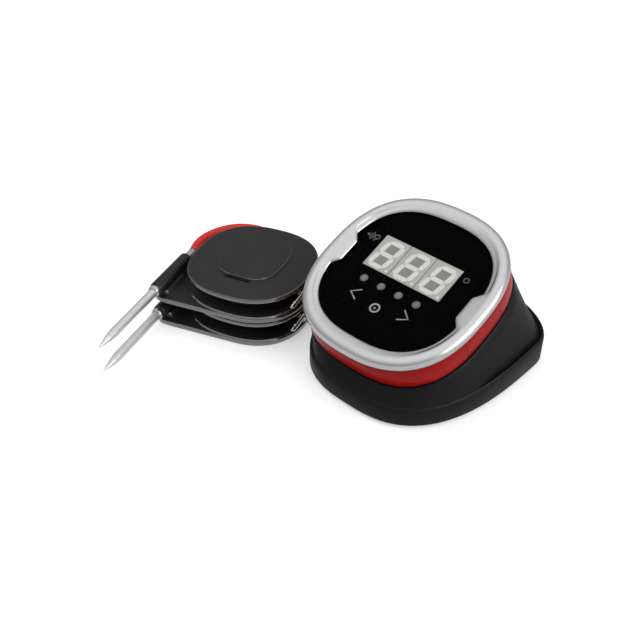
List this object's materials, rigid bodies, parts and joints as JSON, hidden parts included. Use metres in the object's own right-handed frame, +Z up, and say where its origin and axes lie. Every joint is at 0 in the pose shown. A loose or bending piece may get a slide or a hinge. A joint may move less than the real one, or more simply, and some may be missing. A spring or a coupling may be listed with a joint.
{
  "type": "meat thermometer",
  "caption": "Digital cooking thermometer: a sloping round-cornered display head on a wedge base, with steel probes stowed on stacking cable wraps beside it.",
  "frame": {"origin": "on the surface the unit rests on, below the middle of the face from left to right, 47.9 mm behind the front of the footprint (below the turning axis of the head, near enough)", "axes": "+X to the display's right, +Y to the back of the unit (the high side of the face), +Z up; the wraps stand to the left"},
  "size_m": [0.1587, 0.154, 0.0591],
  "materials": {
    "bright_metal": "polished, fine ripple in the curve",
    "clear_window": "gloss",
    "black_gloss": "gloss black print behind the window",
    "display_grey": "matt",
    "segment_white": "matt",
    "lens_grey": "satin",
    "film_amber": "satin",
    "shell_black": "matt",
    "soft_black": "soft-touch satin",
    "foot_rubber": "matt",
    "ring_red": "satin",
    "cover_red": "satin",
    "jack_black": "matt",
    "board_green": "satin",
    "chip_black": "matt",
    "can_steel": "satin",
    "cell_jacket": "gloss",
    "wrap_black": "fine satin",
    "cable_black": "dark braided jacket, satin",
    "probe_steel": "satin",
    "grip_black": "satin",
    "sleeve_red": "satin silicone",
    "plug_nickel": "polished"
  },
  "bodies": {
    "base": {"base_shell": "soft_black", "base_pan": "shell_black", "rubber_foot": "foot_rubber", "battery_front": "cell_jacket", "battery_back": "cell_jacket", "battery_tray": "shell_black", "contact_left": "can_steel", "contact_right": "can_steel", "base_magnets": "can_steel", "base_screws": "can_steel"},
    "head": {"bezel": "bright_metal", "face_window": "clear_window", "face_mask": "black_gloss", "display_module": "display_grey", "display_segments": "segment_white", "indicator_lenses": "lens_grey", "touch_film": "film_amber", "head_shell": "shell_black", "accent_ring": "ring_red", "jack_left_front": "jack_black", "jack_left_back": "jack_black", "jack_right_front": "jack_black", "jack_right_back": "jack_black", "main_board": "board_green", "radio_module": "can_steel", "processor": "chip_black", "buzzer": "chip_black", "pivot_clip": "can_steel"},
    "cover_left": {"port_cover_left": "cover_red"},
    "cover_right": {"port_cover_right": "cover_red"},
    "door": {"battery_door": "shell_black"},
    "wrap_lower": {"lower_wrap_body": "wrap_black", "lower_wrap_cap": "wrap_black", "lower_cable_coil": "cable_black", "lower_cable_in": "cable_black", "lower_cable_out": "cable_black", "lower_plug_metal": "plug_nickel", "lower_plug_grip": "grip_black"},
    "probe_lower": {"lower_needle": "probe_steel", "lower_collar": "probe_steel", "lower_grip": "grip_black", "lower_ferrule": "probe_steel", "lower_sleeve": "sleeve_red"},
    "wrap_upper": {"upper_wrap_body": "wrap_black", "upper_wrap_cap": "wrap_black", "upper_cable_coil": "cable_black", "upper_cable_in": "cable_black", "upper_cable_out": "cable_black", "upper_plug_metal": "plug_nickel", "upper_plug_grip": "grip_black"},
    "probe_upper": {"upper_needle": "probe_steel", "upper_collar": "probe_steel", "upper_grip": "grip_black", "upper_ferrule": "probe_steel", "upper_sleeve": "sleeve_red"}
  },
  "joints": [
    {"name": "head_swivel", "type": "hinge", "parent": "base", "child": "head", "pos_m": [0, -0.005, 0.02911], "axis": [0, -0.3551, 0.9348], "range_deg": [-90, 90]},
    {"name": "port_cover_left", "type": "hinge", "parent": "head", "child": "cover_left", "pos_m": [-0.038, -0.00571, 0.03098], "axis": [0, -0.9348, -0.3551], "range_deg": [0, 95]},
    {"name": "port_cover_right", "type": "hinge", "parent": "head", "child": "cover_right", "pos_m": [0.038, -0.00571, 0.03098], "axis": [0, 0.9348, 0.3551], "range_deg": [0, 95]},
    {"name": "battery_door", "type": "hinge", "parent": "base", "child": "door", "pos_m": [0, 0.003, 0.0019], "axis": [-1, 0, 0], "range_deg": [0, 100]},
    {"name": "wrap_lower_lift", "type": "slide", "parent": "base", "child": "wrap_lower", "axis": [0, 0, 1], "range_m": [0, 0.08]},
    {"name": "wrap_upper_lift", "type": "slide", "parent": "wrap_lower", "child": "wrap_upper", "axis": [0, 0, 1], "range_m": [0, 0.06]},
    {"name": "probe_lower_release", "type": "hinge", "parent": "wrap_lower", "child": "probe_lower", "pos_m": [-0.07838, -0.00071, 0.0067], "axis": [0, 0, -1], "range_deg": [0, 35]},
    {"name": "probe_upper_release", "type": "hinge", "parent": "wrap_upper", "child": "probe_upper", "pos_m": [-0.07838, -0.00071, 0.0195], "axis": [0, 0, -1], "range_deg": [0, 35]}
  ]
}
